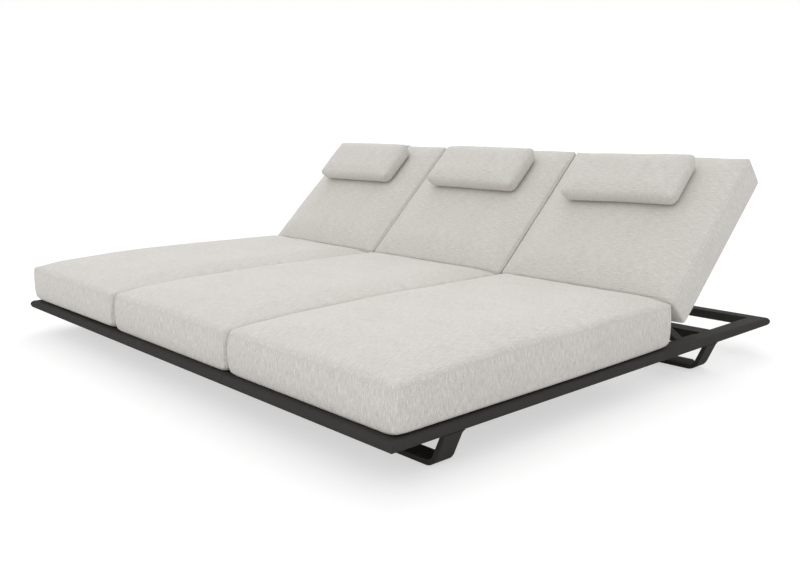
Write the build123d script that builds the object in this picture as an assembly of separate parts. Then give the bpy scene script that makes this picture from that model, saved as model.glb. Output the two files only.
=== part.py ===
from build123d import *
from math import cos, radians, sin, sqrt, tan
import os

os.makedirs("parts", exist_ok=True)

# The lounger stands on the floor at z = 0, centred on x = 0 and y = 0.
# Three modules stand side by side along x. The feet lie towards -y, the heads towards +y.
# Everything is in millimetres and degrees.

# Frame of extruded rails
frame_width = 2400.0
frame_depth = 2086.0
module_places = {"left": -1, "middle": 0, "right": 1}
floor_clearance = 105.5
rail_width = 66.0
rail_height = 34.5
rail_wall = 3.0
rail_edge_radius = 2.0
rail_joint_gap = 2.0
inner_rail_width = 33.0
cross_rail_width = 70.0
cross_rail_setback = 379.0
ledge_width = 22.0
ledge_thickness = 6.0
tie_bar_width = 22.0
tie_bar_height = 10.0
tie_bar_leg_gap = 8.0
brace_width = 30.0
brace_height = 14.0
brace_reach_x = 141.0
brace_reach_y = 150.0

# Seat slats
slat_count = 9
slat_width = 70.0
slat_thickness = 8.0
slat_end_gap = 1.0

# Sled legs, each bent from one flat bar
leg_bar_width = 70.0
leg_bar_thickness = 16.0
leg_slope = 23.7
leg_side_inset = 10.0
leg_bend_radius = 30.0
leg_flare_radius = 12.0
front_leg_setback = 172.0
rear_leg_setback = 390.0
glide_thickness = 3.0
glide_length = 60.0
glide_width = 40.0
glide_side_inset = 118.0

# Transport rollers behind the rear legs
roller_diameter = 19.0
roller_length = 70.0
roller_side_inset = 145.0
roller_floor_gap = 1.0
roller_leg_gap = 1.0
axle_diameter = 6.0
axle_end_length = 3.0
ear_thickness = 4.0
ear_gap = 1.5
ear_margin = 4.5

# Bolts that join the modules
bolt_diameter = 8.0
bolt_head_diameter = 14.0
bolt_head_height = 5.0
bolt_drop = 24.0
front_bolt_setbacks = [98.0, 684.0]
rear_bolt_setbacks = [547.0, 147.0]

# Hinge of each back
pivot_setback = 33.0
pivot_drop = 10.0
back_angle = 44.0
back_angle_flat = 0.0
back_angle_highest = 60.0
disc_radius = 22.0
disc_thickness = 6.0
disc_teeth = 24
tooth_radius = 1.6
side_clearance = 1.0
pin_diameter = 8.0
pin_clearance = 0.05
pin_head_diameter = 14.0
pin_head_thickness = 4.0
pin_head_gap = 0.4
arm_thickness = 6.0
arm_boss_radius = 13.0
arm_weld_length = 70.0
pawl_length = 9.0
pawl_width = 8.0
pawl_disc_gap = 0.6
pawl_direction = 45.0

# Tube frame of each back
back_tube = 20.0
back_tube_wall = 2.0
back_frame_start = 20.0
back_frame_length = 620.0
back_flat_gap = 0.5
back_slat_count = 5
back_slat_width = 60.0
back_slat_thickness = 6.0

# Cushions
cushion_seam = 3.0
cushion_side_gap = 11.0
seat_front_setback = 24.0
seat_rear_setback = 741.0
seat_edge_height = 168.0
seat_edge_sag = 20.0
seat_crown = 30.0
seat_draw_in = 6.0
back_seat_gap = 6.0
back_length = 695.0
back_edge_height = 136.0
back_edge_sag = 0.0
back_crown = 34.0
back_draw_in = 0.0
cushion_low_radius = 8.0
cushion_top_radius = 24.0
cushion_bulge = 3.0
cushion_end_depth = 11.0
cushion_end_inset = 9.0
cushion_slope_length = 110.0
cushion_rest_gap = 0.4
headrest_rest_gap = 0.6
slide_per_radian = 145.5

# Headrest pads and their flaps
headrest_width = 524.0
headrest_length = 228.0
headrest_edge_height = 60.0
headrest_crown = 24.0
headrest_side_radius = 25.0
headrest_bulge = 3.0
headrest_end_depth = 24.0
headrest_end_inset = 17.0
headrest_slope_length = 80.0
headrest_draw_in = 4.0
headrest_top_margin = 82.0
flap_width = 250.0
flap_thickness = 2.5
flap_drop = 95.0
flap_gap = 0.3

# Shares of a cushion's length, of its end depth, and of its crown that is left at its ends
end_station_shares = [0.0, 0.12, 0.35, 1.0]
slope_station_shares = [0.35, 0.65, 1.0]
crown_end_share = 0.05
shoulder_share = 0.72
shoulder_rise_share = 0.78

# One overrun for every cut
overrun = 5.0

# Places worked out from the sizes above
half_width = frame_width / 2
half_depth = frame_depth / 2
module_width = frame_width / len(module_places)
rail_top = floor_clearance + rail_height
nose_radius = rail_height / 2
rail_inner_y = half_depth - rail_width
cross_rail_front_y = rail_inner_y - cross_rail_setback
front_leg_y = front_leg_setback - rail_inner_y
rear_leg_y = rail_inner_y - rear_leg_setback
glide_reach_x = module_width / 2 - glide_side_inset
roller_reach_x = module_width / 2 - roller_side_inset
bolt_rows = [setback - rail_inner_y for setback in front_bolt_setbacks]
bolt_rows = bolt_rows + [rail_inner_y - setback for setback in rear_bolt_setbacks]
seat_front_y = seat_front_setback - half_depth
seat_rear_y = half_depth - seat_rear_setback
pivot_y = seat_rear_y + pivot_setback
ledge_top = rail_top - slat_thickness
leg_foot = glide_thickness
pivot_z = rail_top - pivot_drop
tube_low = pivot_drop + back_flat_gap
tube_high = tube_low + back_tube
cushion_low = tube_high + cushion_rest_gap
slide_flat = seat_rear_y + back_seat_gap - pivot_y
slide_rest = slide_flat + slide_per_radian * radians(back_angle - back_angle_flat)
cushion_flank = half_width - cushion_side_gap
bolt_z = rail_top - bolt_drop


def inner_face(place, side):
    # The x of the inner face of the rail on one side of a module
    at_outside = place == side
    width = rail_width if at_outside else inner_rail_width
    return (place + side / 2) * module_width - side * width


def block(x_range, y_range, z_range):
    # A box from its ranges along x, y and z
    size = [high - low for low, high in (x_range, y_range, z_range)]
    middle = [(high + low) / 2 for low, high in (x_range, y_range, z_range)]
    return Pos(*middle) * Box(*size)


def rod_x(diameter, x_low, x_high, y, z):
    # A round bar along x
    middle = (x_low + x_high) / 2
    return Pos(middle, y, z) * Rot(0, 90, 0) * Cylinder(diameter / 2, x_high - x_low)


def save(name, shape):
    # Each node is one file
    export_step(shape, f"parts/{name}.step")


# Rails

def nosed_section(shrink):
    # The outline of the outer rail, its round nose towards +x and its inner face at x = 0
    flat = rail_width - nose_radius - shrink
    height = rail_height - 2 * shrink
    body = Pos(shrink + flat / 2, 0) * Rectangle(flat, height)
    nose = Pos(rail_width - nose_radius, 0) * Circle(nose_radius - shrink)
    outline = body + nose
    if shrink == 0:
        outline = fillet(outline.vertices().group_by(Axis.X)[0], rail_edge_radius)
    return outline


def nosed_bar(length):
    # A hollow rail along y, centred, standing on its underside height
    wall_section = nosed_section(0) - nosed_section(rail_wall)
    stand = Plane.XZ.offset(-length / 2)
    return Pos(0, 0, rail_top - nose_radius) * extrude(stand * wall_section, length)


def plan_prism(points):
    # A straight-sided solid over a plan outline, as high as the rails
    face = make_face(Polyline(*points, close=True).edges())
    height = rail_height + 2 * overrun
    return Pos(0, 0, floor_clearance - overrun) * extrude(face, height)


def end_rail(place, end):
    # The rail across the foot (end = -1) or the head (end = 1) of a module
    low = (place - 0.5) * module_width
    high = (place + 0.5) * module_width
    bar = Rot(0, 0, 90 * end) * nosed_bar(module_width)
    bar = Pos((low + high) / 2, end * rail_inner_y, 0) * bar
    low = low if place == -1 else low + rail_joint_gap / 2
    high = high if place == 1 else high - rail_joint_gap / 2
    low_cut = low + rail_width if place == -1 else low
    high_cut = high - rail_width if place == 1 else high
    inner_y = end * rail_inner_y
    outer_y = end * half_depth
    plan = [(low, outer_y), (high, outer_y), (high_cut, inner_y), (low_cut, inner_y)]
    return bar & plan_prism(plan)


def side_rail(side):
    # The rail along the left (side = -1) or right (side = 1) of the lounger
    turn = 0 if side == 1 else 180
    bar = Pos(side * (half_width - rail_width), 0, 0) * Rot(0, 0, turn) * nosed_bar(frame_depth)
    inner_x = side * (half_width - rail_width)
    outer_x = side * half_width
    plan = [
        (outer_x, -half_depth),
        (outer_x, half_depth),
        (inner_x, rail_inner_y),
        (inner_x, -rail_inner_y),
    ]
    return bar & plan_prism(plan)


def bolt_holes():
    # The holes through both inner rails at each module joint
    holes = []
    for joint in (-1, 1):
        x = joint * module_width / 2
        reach = inner_rail_width + overrun
        for y in bolt_rows:
            holes.append(rod_x(bolt_diameter + 2 * pin_clearance, x - reach, x + reach, y, bolt_z))
    return holes


def inner_rail(place, side):
    # The plain rail on the inner side of a module, from the foot rail to the head rail
    x_face = inner_face(place, side)
    x_joint = (place + side / 2) * module_width
    low, high = sorted((x_face, x_joint))
    outer = block((low, high), (-rail_inner_y, rail_inner_y), (floor_clearance, rail_top))
    bore = block(
        (low + rail_wall, high - rail_wall),
        (-half_depth, half_depth),
        (floor_clearance + rail_wall, rail_top - rail_wall),
    )
    rail = outer - bore
    return rail - bolt_holes()


def cross_rail(place):
    # The hollow rail across a module under its back
    x_range = (inner_face(place, -1), inner_face(place, 1))
    low, high = cross_rail_front_y, cross_rail_front_y + cross_rail_width
    outer = block(x_range, (low, high), (floor_clearance, rail_top))
    bore = block(
        (x_range[0] - overrun, x_range[1] + overrun),
        (low + rail_wall, high - rail_wall),
        (floor_clearance + rail_wall, rail_top - rail_wall),
    )
    return outer - bore


def ledge(place, side):
    # The flat bar inside a rail that carries the slats and the hinge disc
    face = inner_face(place, side)
    x_range = sorted((face, face - side * ledge_width))
    z_range = (ledge_top - ledge_thickness, ledge_top)
    return block(x_range, (-rail_inner_y, cross_rail_front_y), z_range)


def ledge_edge(place, side):
    # The x of a ledge's free edge
    return inner_face(place, side) - side * ledge_width


def tie_bar(place):
    # The low bar that ties the two sides of a module ahead of the rear leg
    y_high = rear_leg_y - leg_bar_width / 2 - tie_bar_leg_gap
    z_range = (floor_clearance, floor_clearance + tie_bar_height)
    x_range = (inner_face(place, -1), inner_face(place, 1))
    return block(x_range, (y_high - tie_bar_width, y_high), z_range)


def corner_brace(side):
    # The diagonal bar from the cross rail to the side rail at an outer corner
    face = inner_face(side, side)
    length = sqrt(brace_reach_x ** 2 + brace_reach_y ** 2) + 2 * brace_width
    middle = (face - side * brace_reach_x / 2, cross_rail_front_y - brace_reach_y / 2)
    run = Vector(side * brace_reach_x, -brace_reach_y)
    angle = run.get_signed_angle(Vector(1, 0, 0), Vector(0, 0, -1))
    bar = Rot(0, 0, angle) * Box(length, brace_width, brace_height)
    bar = Pos(middle[0], middle[1], rail_top - brace_height / 2) * bar
    far = face - side * (brace_reach_x + length)
    x_range = sorted((face, far))
    y_range = (cross_rail_front_y - brace_reach_y - length, cross_rail_front_y)
    inside = block(x_range, y_range, (floor_clearance, rail_top + overrun))
    return (bar & inside) - ledge(side, side)


def seat_slats(place):
    # The flat slats that carry a seat cushion, resting on the two ledges
    x_range = (inner_face(place, -1) + slat_end_gap, inner_face(place, 1) - slat_end_gap)
    pitch = (seat_rear_y + rail_inner_y) / slat_count
    slats = []
    for row in range(slat_count):
        y = -rail_inner_y + pitch * (row + 0.5)
        y_range = (y - slat_width / 2, y + slat_width / 2)
        slats.append(block(x_range, y_range, (ledge_top, rail_top)))
    return Compound(children=slats)


def frame_bolts():
    # The bolts through the inner rails, with a head on one side and a nut on the other
    bolts = []
    for joint in (-1, 1):
        x = joint * module_width / 2
        reach = inner_rail_width
        end = reach + bolt_head_height
        for y in bolt_rows:
            bolt = rod_x(bolt_diameter, x - end, x + end, y, bolt_z)
            for side in (-1, 1):
                low, high = sorted((x + side * reach, x + side * end))
                bolt += rod_x(bolt_head_diameter, low, high, y, bolt_z)
            bolts.append(bolt)
    return Compound(children=bolts)


# Legs and rollers

def leg_flare(y_edge, direction):
    # The concave corner where the bar of a leg widens into the rail, on the +x side of a leg
    slope = radians(leg_slope)
    start = (module_width / 2 - leg_side_inset, y_edge, floor_clearance)
    normal = (cos(slope), 0, -sin(slope))
    plane = Plane(origin=start, x_dir=(0, 1, 0), z_dir=normal)
    radius = leg_flare_radius
    corner = Pos(direction * radius / 2, -radius / 2) * Rectangle(radius, radius)
    hollow = Pos(direction * radius, -radius) * Circle(radius)
    return extrude(plane * (corner - hollow), -leg_bar_thickness)


def leg_outline(offset, top, bend):
    # A trapezoid in the xz plane, inside the leg's outer face by the given offset
    slope = radians(leg_slope)
    reach = module_width / 2 - leg_side_inset - offset / cos(slope)
    foot = leg_foot + offset
    top_reach = reach + (top - floor_clearance) * tan(slope)
    foot_reach = reach - (floor_clearance - foot) * tan(slope)
    points = [(-top_reach, top), (top_reach, top), (foot_reach, foot), (-foot_reach, foot)]
    face = make_face(Polyline(*points, close=True).edges())
    return fillet(face.vertices().group_by(Axis.Y)[0], bend)


def sled_leg(place, y_middle, has_ears):
    # A bar bent down from one side of a module, along the floor and up to the other side
    outer = leg_outline(0, floor_clearance, leg_bend_radius + leg_bar_thickness)
    inner = leg_outline(leg_bar_thickness, floor_clearance + overrun, leg_bend_radius)
    stand = Plane.XZ.offset(-(y_middle + leg_bar_width / 2))
    leg = extrude(stand * (outer - inner), leg_bar_width)
    for direction in (-1, 1):
        flare = leg_flare(y_middle + direction * leg_bar_width / 2, direction)
        leg += flare
        leg += mirror(flare, Plane.YZ)
    reach = module_width / 2
    y_reach = leg_bar_width / 2 + leg_flare_radius + overrun
    room = block((-reach, reach), (y_middle - y_reach, y_middle + y_reach), (0, floor_clearance))
    leg = leg & room
    if has_ears:
        for side in (-1, 1):
            for end in (-1, 1):
                leg += roller_ear(side, end)
    return Pos(place * module_width, 0, 0) * leg


roller_z = roller_floor_gap + roller_diameter / 2
roller_y = rear_leg_y + leg_bar_width / 2 + roller_leg_gap + roller_diameter / 2


def roller_ear(side, end):
    # A small plate on the rear edge of a rear leg that holds the axle at one end of a roller
    near = side * roller_reach_x + end * (roller_length / 2 + ear_gap)
    x_range = sorted((near, near + end * ear_thickness))
    ear_radius = axle_diameter / 2 + ear_margin
    y_range = (rear_leg_y + leg_bar_width / 2, roller_y)
    plate = block(x_range, y_range, (roller_z - ear_radius, roller_z + ear_radius))
    plate += rod_x(2 * ear_radius, *x_range, roller_y, roller_z)
    cut_range = (x_range[0] - overrun, x_range[1] + overrun)
    hole = rod_x(axle_diameter + 2 * pin_clearance, *cut_range, roller_y, roller_z)
    depth_range = (rear_leg_y, roller_y + ear_radius + overrun)
    above_foot = block(cut_range, depth_range, (leg_foot, floor_clearance))
    return (plate - hole) & above_foot


def rear_rollers(place):
    # Two rollers on one axle, which turns in the ears of the leg
    reach = roller_reach_x + roller_length / 2 + ear_gap + ear_thickness + axle_end_length
    shape = rod_x(axle_diameter, -reach, reach, roller_y, roller_z)
    for side in (-1, 1):
        x = side * roller_reach_x
        shape += rod_x(roller_diameter, x - roller_length / 2, x + roller_length / 2, roller_y, roller_z)
    return Pos(place * module_width, 0, 0) * shape


def leg_glides():
    # The thin pads under both ends of every leg
    pads = []
    for place in module_places.values():
        for y in (front_leg_y, rear_leg_y):
            for side in (-1, 1):
                x = place * module_width + side * glide_reach_x
                pad = Pos(x, y, glide_thickness / 2) * Box(glide_length, glide_width, glide_thickness)
                pads.append(pad)
    return Compound(children=pads)


# Hinges

def disc_range(place, side):
    # The x range of the fixed hinge disc on the free edge of a ledge
    edge = ledge_edge(place, side)
    return sorted((edge, edge - side * disc_thickness))


def arm_faces(place, side):
    # The x of the arm's outboard and inboard faces
    outboard = ledge_edge(place, side) - side * (disc_thickness + side_clearance)
    return outboard, outboard - side * arm_thickness


def hinge_disc(place, side):
    # A fixed disc with teeth round its rim and a hole for the pin
    x_range = disc_range(place, side)
    cut_range = (x_range[0] - overrun, x_range[1] + overrun)
    disc = rod_x(2 * disc_radius, *x_range, pivot_y, pivot_z)
    cuts = [rod_x(pin_diameter + 2 * pin_clearance, *cut_range, pivot_y, pivot_z)]
    for tooth in range(disc_teeth):
        angle = radians(360 / disc_teeth * tooth)
        y = pivot_y + disc_radius * cos(angle)
        z = pivot_z + disc_radius * sin(angle)
        cuts.append(rod_x(2 * tooth_radius, *cut_range, y, z))
    return disc - cuts


def hinge_discs():
    # The fixed discs of all the backs
    discs = []
    for place in module_places.values():
        for side in (-1, 1):
            discs.append(hinge_disc(place, side))
    return Compound(children=discs)


def hinge_pins():
    # The pins on which the arms of all the backs turn, each with a head inside its arm
    pins = []
    for place in module_places.values():
        for side in (-1, 1):
            edge = ledge_edge(place, side)
            inboard = arm_faces(place, side)[1]
            head_face = inboard - side * pin_head_gap
            head_end = head_face - side * pin_head_thickness
            shank = rod_x(pin_diameter, *sorted((edge, head_face)), pivot_y, pivot_z)
            head = rod_x(pin_head_diameter, *sorted((head_face, head_end)), pivot_y, pivot_z)
            pins.append(shank + head)
    return Compound(children=pins)


def raised(shape):
    # Turns a back part from lying flat, with its pivot at the origin, to its place at rest
    return Location((0, pivot_y, pivot_z), (back_angle, 0, 0)) * shape


def back_tube_range(place, side):
    # The x range of a side tube, welded inside its arm
    inboard = arm_faces(place, side)[1]
    return sorted((inboard, inboard - side * back_tube))


def back_arm(place, side):
    # The arm from the pin up to the side tube
    outboard, inboard = arm_faces(place, side)
    x_low, x_high = sorted((outboard, inboard))
    weld_end = back_frame_start + arm_weld_length
    boss = Circle(arm_boss_radius)
    strip = Pos((back_frame_start + weld_end) / 2, (tube_low + tube_high) / 2)
    strip = strip * Rectangle(arm_weld_length, back_tube)
    hull = make_hull((boss + strip).edges())
    plane = Plane(origin=(x_low, 0, 0), x_dir=(0, 1, 0), z_dir=(1, 0, 0))
    arm = extrude(plane * hull, arm_thickness)
    return arm - rod_x(pin_diameter + 2 * pin_clearance, x_low - overrun, x_high + overrun, 0, 0)


def back_frame(place):
    # Two side tubes, two cross tubes and two arms, welded into one frame
    start = back_frame_start
    end = back_frame_start + back_frame_length
    left = back_tube_range(place, -1)
    right = back_tube_range(place, 1)
    z_range = (tube_low, tube_high)
    wall = back_tube_wall
    bore_z = (tube_low + wall, tube_high - wall)
    ring = block((left[0], right[1]), (start, end), z_range)
    ring -= block((left[1], right[0]), (start + back_tube, end - back_tube), z_range)
    for low, high in (left, right):
        ring -= block((low + wall, high - wall), (start - overrun, end + overrun), bore_z)
    for low in (start, end - back_tube):
        y_range = (low + wall, low + back_tube - wall)
        ring -= block((left[1] - wall, right[0] + wall), y_range, bore_z)
    frame = ring
    for side in (-1, 1):
        frame += back_arm(place, side)
    return raised(frame)


def back_pawls(place):
    # The small blocks on the arms that click over the teeth of the discs
    pawls = []
    for side in (-1, 1):
        outboard = arm_faces(place, side)[0]
        x_range = sorted((outboard, outboard + side * disc_thickness))
        start = disc_radius + pawl_disc_gap
        pawl = block(x_range, (start, start + pawl_length), (-pawl_width / 2, pawl_width / 2))
        pawls.append(raised(Rot(pawl_direction, 0, 0) * pawl))
    return Compound(children=pawls)


def back_slats(place):
    # The slats between the side tubes that carry a back cushion
    x_range = (back_tube_range(place, -1)[1], back_tube_range(place, 1)[0])
    pitch = (back_frame_length - 2 * back_tube) / back_slat_count
    slats = []
    for row in range(back_slat_count):
        y = back_frame_start + back_tube + pitch * (row + 0.5)
        y_range = (y - back_slat_width / 2, y + back_slat_width / 2)
        slat = block(x_range, y_range, (tube_high - back_slat_thickness, tube_high))
        slats.append(raised(slat))
    return Compound(children=slats)


# Cushions

def mirrored_point(point):
    return Vector(-point.X, point.Y, point.Z)


def cushion_section(y, half, low, edge, crown, radii, bulge, hollow):
    # The outline of a cushion across its width: flat or hollow below, rounded corners, a crown on top
    low_radius, top_radius = radii
    diagonal = 1 - sin(radians(45))
    low_start = Vector(half - low_radius, y, low)
    low_middle = Vector(half - low_radius * diagonal, y, low + low_radius * diagonal)
    low_end = Vector(half, y, low + low_radius)
    side_middle = Vector(half + bulge, y, (low + low_radius + edge - top_radius) / 2)
    top_start = Vector(half, y, edge - top_radius)
    top_middle = Vector(half - top_radius * diagonal, y, edge - top_radius * diagonal)
    top_end = Vector(half - top_radius, y, edge)
    arcs = [
        (low_start, low_middle, low_end),
        (low_end, side_middle, top_start),
        (top_start, top_middle, top_end),
    ]
    edges = [Edge.make_line(mirrored_point(low_start), low_start)]
    if hollow > 0:
        hollow_top = Vector(0, y, low + hollow)
        edges = [Edge.make_three_point_arc(mirrored_point(low_start), hollow_top, low_start)]
    for arc in arcs:
        edges.append(Edge.make_three_point_arc(*arc))
    crown_top = Vector(0, y, edge + crown)
    shoulder = Vector(half * shoulder_share, y, edge + crown * shoulder_rise_share)
    crown_arc = Edge.make_three_point_arc(shoulder, crown_top, mirrored_point(shoulder))
    slope_middle = Edge.make_tangent_arc(shoulder, crown_arc % 0 * -1, top_end) @ 0.5
    edges.append(Edge.make_three_point_arc(top_end, slope_middle, shoulder))
    edges.append(crown_arc)
    slope = [mirrored_point(point) for point in (shoulder, slope_middle, top_end)]
    edges.append(Edge.make_three_point_arc(*slope))
    for first, middle, last in reversed(arcs):
        points = [mirrored_point(last), mirrored_point(middle), mirrored_point(first)]
        edges.append(Edge.make_three_point_arc(*points))
    return Wire(edges)


def cushion_stations(length, end_depth, slope_length):
    # The places along a cushion of its sections, closer together at the rounded ends
    near = [share * end_depth for share in end_station_shares]
    near = near + [share * slope_length for share in slope_station_shares]
    far = [length - place for place in reversed(near)]
    return near + [length / 2] + far


def end_rounding(y, length, end_depth, end_inset):
    # How far the outline draws in near the ends of a cushion, along a quarter of an ellipse
    depth = min(y, length - y) / end_depth
    if depth >= 1:
        return 0.0
    return end_inset * (1 - sqrt(1 - (1 - depth) ** 2))


def away_from_middle(y, length):
    # Zero at the middle of a cushion, one at its ends
    return (2 * y / length - 1) ** 2


def crown_rise(y, length, crown, slope_length):
    # How far the crown stands above the edges of a cushion, falling off towards its ends
    fall = max(0.0, 1 - min(y, length - y) / slope_length) ** 2
    return crown * (1 - fall * (1 - crown_end_share))


def cushion(width, length, height, crown, draw_in, end, radii, bulge, hollow=0):
    # A padded solid on z = 0, centred on x = 0, from y = 0 to its length
    edge_height, edge_sag = height
    end_depth, end_inset, slope_length = end
    sections = []
    for y in cushion_stations(length, end_depth, slope_length):
        away = away_from_middle(y, length)
        inset = end_rounding(y, length, end_depth, end_inset)
        half = width / 2 - bulge - draw_in * away - inset
        edge = edge_height - edge_sag * away - inset
        rise = crown_rise(y, length, crown, slope_length)
        left_share = (edge - inset) / edge_height
        radii_here = [radius * left_share for radius in radii]
        sections.append(cushion_section(y, half, inset, edge, rise, radii_here, bulge, hollow))
    return Solid.make_loft(sections, ruled=True)


def cushion_sides(place):
    # The x range of a module's cushions
    low = -cushion_flank if place == -1 else (place - 0.5) * module_width + cushion_seam / 2
    high = cushion_flank if place == 1 else (place + 0.5) * module_width - cushion_seam / 2
    return low, high


cushion_radii = (cushion_low_radius, cushion_top_radius)
cushion_end = (cushion_end_depth, cushion_end_inset, cushion_slope_length)


def seat_cushion(place):
    # The long cushion on the slats and rails of a module
    low, high = cushion_sides(place)
    pad = cushion(
        width=high - low,
        length=seat_rear_y - seat_front_y,
        height=(seat_edge_height, seat_edge_sag),
        crown=seat_crown,
        draw_in=seat_draw_in,
        end=cushion_end,
        radii=cushion_radii,
        bulge=cushion_bulge,
    )
    return Pos((low + high) / 2, seat_front_y, rail_top) * pad


def back_cushion(place):
    # The cushion that lies on a back frame and slides a little along it
    low, high = cushion_sides(place)
    pad = cushion(
        width=high - low,
        length=back_length,
        height=(back_edge_height, back_edge_sag),
        crown=back_crown,
        draw_in=back_draw_in,
        end=cushion_end,
        radii=cushion_radii,
        bulge=cushion_bulge,
    )
    return raised(Pos((low + high) / 2, slide_rest, cushion_low) * pad)


def headrest(place):
    # The pad on the upper part of a back cushion, hollow below to lie on its crown
    low, high = cushion_sides(place)
    crown_chord = ((high - low) / 2 - cushion_bulge) * shoulder_share
    crown_drop = back_crown * (1 - shoulder_rise_share)
    crown_radius = (crown_chord ** 2 + crown_drop ** 2) / (2 * crown_drop)
    pad_chord = headrest_width / 2 - headrest_bulge - headrest_side_radius
    hollow = crown_radius - sqrt(crown_radius ** 2 - pad_chord ** 2)
    pad = cushion(
        width=headrest_width,
        length=headrest_length,
        height=(headrest_edge_height, 0),
        crown=headrest_crown,
        draw_in=headrest_draw_in,
        end=(headrest_end_depth, headrest_end_inset, headrest_slope_length),
        radii=(headrest_side_radius, headrest_side_radius),
        bulge=headrest_bulge,
        hollow=hollow,
    )
    start = slide_rest + back_length - headrest_top_margin - headrest_length
    face = cushion_low + back_edge_height + back_crown + headrest_rest_gap - hollow
    return raised(Pos((low + high) / 2, start, face) * pad)


def headrest_flap(place):
    # The fabric flap that goes from the pad over the top edge of a back cushion
    low, high = cushion_sides(place)
    middle = (low + high) / 2
    end = back_length + flap_gap
    bend_y = back_length - cushion_end_depth
    front_y = back_length - slope_station_shares[0] * cushion_slope_length
    top, front_top = [
        back_edge_height
        - back_edge_sag * away_from_middle(y, back_length)
        + crown_rise(y, back_length, back_crown, cushion_slope_length)
        + flap_gap
        for y in (bend_y, front_y)
    ]
    bend_start = (bend_y, top)
    bend_end = (end, top - cushion_end_inset)
    half_turn = sin(radians(45))
    bend_middle = (
        bend_y + (cushion_end_depth + flap_gap) * half_turn,
        top - cushion_end_inset * (1 - half_turn),
    )
    drop_end = (end, top - flap_drop)
    slope = Line((front_y, front_top), bend_start)
    line = slope + ThreePointArc(bend_start, bend_middle, bend_end)
    line = line + Line(bend_end, drop_end)
    plane = Plane(origin=(middle - flap_width / 2, 0, 0), x_dir=(0, 1, 0), z_dir=(1, 0, 0))
    band = offset(line, flap_thickness, side=Side.LEFT, kind=Kind.TANGENT)
    face = make_face(band.edges())
    flap = extrude(plane * face, flap_width)
    return raised(Pos(0, slide_rest, cushion_low) * flap)


for module, place in module_places.items():
    save(f"front_rail_{module}", end_rail(place, -1))
    save(f"rear_rail_{module}", end_rail(place, 1))
    save(f"cross_rail_{module}", cross_rail(place))
    save(f"tie_bar_{module}", tie_bar(place))
    save(f"seat_ledges_{module}", Compound(children=[ledge(place, -1), ledge(place, 1)]))
    save(f"seat_slats_{module}", seat_slats(place))
    save(f"front_leg_{module}", sled_leg(place, front_leg_y, False))
    save(f"rear_leg_{module}", sled_leg(place, rear_leg_y, True))
    save(f"rear_rollers_{module}", rear_rollers(place))
    save(f"back_frame_{module}", back_frame(place))
    save(f"back_pawls_{module}", back_pawls(place))
    save(f"back_slats_{module}", back_slats(place))
    save(f"seat_cushion_{module}", seat_cushion(place))
    save(f"back_cushion_{module}", back_cushion(place))
    save(f"headrest_{module}", headrest(place))
    save(f"headrest_flap_{module}", headrest_flap(place))

for module, side in (("left", -1), ("right", 1)):
    save(f"side_rail_{module}", side_rail(side))
    save(f"corner_brace_{module}", corner_brace(side))
    save(f"inner_rail_{module}", inner_rail(side, -side))
    save(f"middle_rail_{module}", inner_rail(0, side))

save("leg_glides", leg_glides())
save("hinge_discs", hinge_discs())
save("hinge_pins", hinge_pins())
save("frame_bolts", frame_bolts())
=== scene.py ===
from math import cos, pi, radians, sin

import bpy
from mathutils import Matrix, Vector, noise
from mathutils.bvhtree import BVHTree


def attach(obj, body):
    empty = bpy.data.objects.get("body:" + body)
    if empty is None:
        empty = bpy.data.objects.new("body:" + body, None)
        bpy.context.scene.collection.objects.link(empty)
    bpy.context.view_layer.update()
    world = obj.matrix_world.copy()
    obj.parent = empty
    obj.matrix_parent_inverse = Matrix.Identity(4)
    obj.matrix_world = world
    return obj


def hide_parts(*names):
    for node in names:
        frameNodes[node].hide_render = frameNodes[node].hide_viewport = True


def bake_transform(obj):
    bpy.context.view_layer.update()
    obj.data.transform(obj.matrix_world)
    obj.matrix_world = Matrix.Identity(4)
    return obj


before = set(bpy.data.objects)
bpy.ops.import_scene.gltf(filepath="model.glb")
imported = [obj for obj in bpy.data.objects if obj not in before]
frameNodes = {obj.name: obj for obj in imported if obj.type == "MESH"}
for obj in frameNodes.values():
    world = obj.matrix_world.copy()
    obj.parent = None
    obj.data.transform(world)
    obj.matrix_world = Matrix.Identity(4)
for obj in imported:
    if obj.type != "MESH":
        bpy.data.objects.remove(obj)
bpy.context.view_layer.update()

moduleNames = ["left", "middle", "right"]
moduleWidth = 0.8


# Small helpers

def newObject(name, data):
    thing = bpy.data.objects.new(name, data)
    bpy.context.collection.objects.link(thing)
    return thing


def newMeshObject(name, places, faces):
    mesh = bpy.data.meshes.new(name)
    mesh.from_pydata(places, [], faces)
    return newObject(name, mesh)


def evaluatedObject(thing):
    return thing.evaluated_get(bpy.context.evaluated_depsgraph_get())


def clamp(value, low=0.0, high=1.0):
    return min(max(value, low), high)


def fade(distance, reach, power=1):
    # 1 where the distance is 0, down to 0 at the reach
    return max(0.0, 1 - distance / reach) ** power


# Helpers for shader nodes

white = (1, 1, 1, 1)


def setInputs(node, values):
    for name, value in values.items():
        node.inputs[name].default_value = value


def mathNode(tree, operation, first, second, clamped=False):
    node = tree.nodes.new("ShaderNodeMath")
    node.operation = operation
    node.use_clamp = clamped
    for index, value in enumerate((first, second)):
        if isinstance(value, (int, float)):
            node.inputs[index].default_value = value
        else:
            tree.links.new(value, node.inputs[index])
    return node.outputs["Value"]


def weightedSum(tree, parts):
    total = None
    for value, share in parts:
        part = mathNode(tree, "MULTIPLY", value, share)
        total = part if total is None else mathNode(tree, "ADD", total, part)
    return total


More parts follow.
